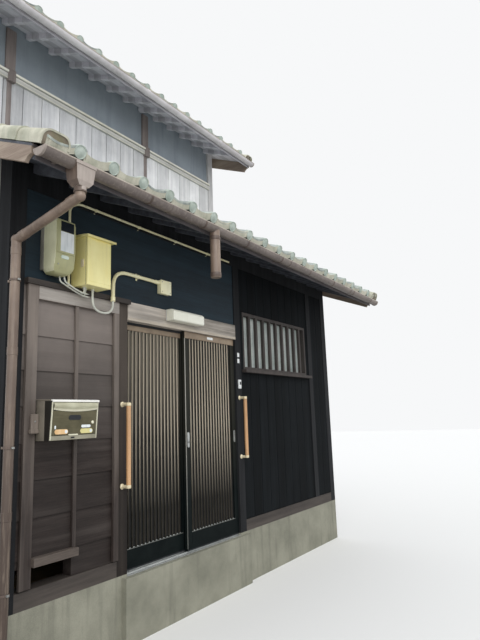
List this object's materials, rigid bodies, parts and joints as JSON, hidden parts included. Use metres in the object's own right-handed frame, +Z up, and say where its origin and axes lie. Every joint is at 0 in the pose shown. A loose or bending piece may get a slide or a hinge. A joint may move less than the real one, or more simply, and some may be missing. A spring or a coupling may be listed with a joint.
{
  "type": "row townhouse",
  "caption": "Two-storey wooden row townhouse with a tiled pent roof over its front, lattice sliding doors, a barred window and boarded walls.",
  "frame": {"origin": "centre of the footprint on the ground", "axes": "+X along the front to the right as seen from the street, +Y from the street to the back, +Z up"},
  "size_m": [5.49, 8.6259, 7.1598],
  "materials": {
    "footing": "matte concrete",
    "boards": "weathered dark stain",
    "dark_wood": "matte dark stain",
    "frame_wood": "weathered grey",
    "upper_boards": "weathered light grey",
    "inner_wood": "bare",
    "roof_wood": "weathered",
    "pale_wood": "painted cream",
    "plaster": "smooth plaster",
    "party_plaster": "plain plaster",
    "roof_tile": "smoked clay",
    "gutter": "aged",
    "threshold": "satin",
    "door_frame": "dark anodised",
    "steel": "brushed",
    "glass": "clear",
    "frosted_glass": "frosted",
    "meter_case": "aged",
    "cream_plastic": "aged",
    "lamp_plastic": "opal",
    "grab_wood": "varnished"
  },
  "bodies": {
    "house": {"foundation_cross": "footing", "foundation_sides": "footing", "ground_floor": "inner_wood", "front_beams": "boards", "ground_posts": "boards", "panel_wall_left": "boards", "panel_frame_left": "frame_wood", "band_wall": "dark_wood", "door_lintel": "frame_wood", "door_threshold": "threshold", "front_wall_right": "dark_wood", "front_window_frame": "boards", "front_window_glass": "frosted_glass", "party_wall_left": "party_plaster", "party_wall_right": "party_plaster", "back_wall": "boards", "back_window_frames": "frame_wood", "back_window_glass": "frosted_glass", "upper_floor": "inner_wood", "upper_front_wall": "plaster", "upper_wainscot": "upper_boards", "upper_rail": "pale_wood", "upper_posts": "frame_wood", "pent_frame": "roof_wood", "pent_tiles": "roof_tile", "pent_gutter": "gutter", "downpipe": "gutter", "roof_frame": "roof_wood", "roof_tiles_front": "roof_tile", "roof_tiles_back": "roof_tile", "roof_ridge": "roof_tile", "bargeboards": "boards", "roof_gutters": "gutter", "mailbox": "steel", "meter_box": "meter_case", "switch_box": "cream_plastic", "conduits": "cream_plastic", "porch_lamp": "lamp_plastic", "grab_bars": "grab_wood"},
    "leaf_left": {"door_leaf_left": "door_frame", "door_glass_left": "glass", "door_pull_left": "steel"},
    "leaf_right": {"door_leaf_right": "door_frame", "door_glass_right": "glass", "door_pull_right": "steel"}
  },
  "joints": [
    {"name": "leaf_left_slide", "type": "slide", "parent": "house", "child": "leaf_left", "axis": [1, 0, 0], "range_m": [0, 0.7]},
    {"name": "leaf_right_slide", "type": "slide", "parent": "house", "child": "leaf_right", "axis": [-1, 0, 0], "range_m": [0, 0.7]}
  ]
}
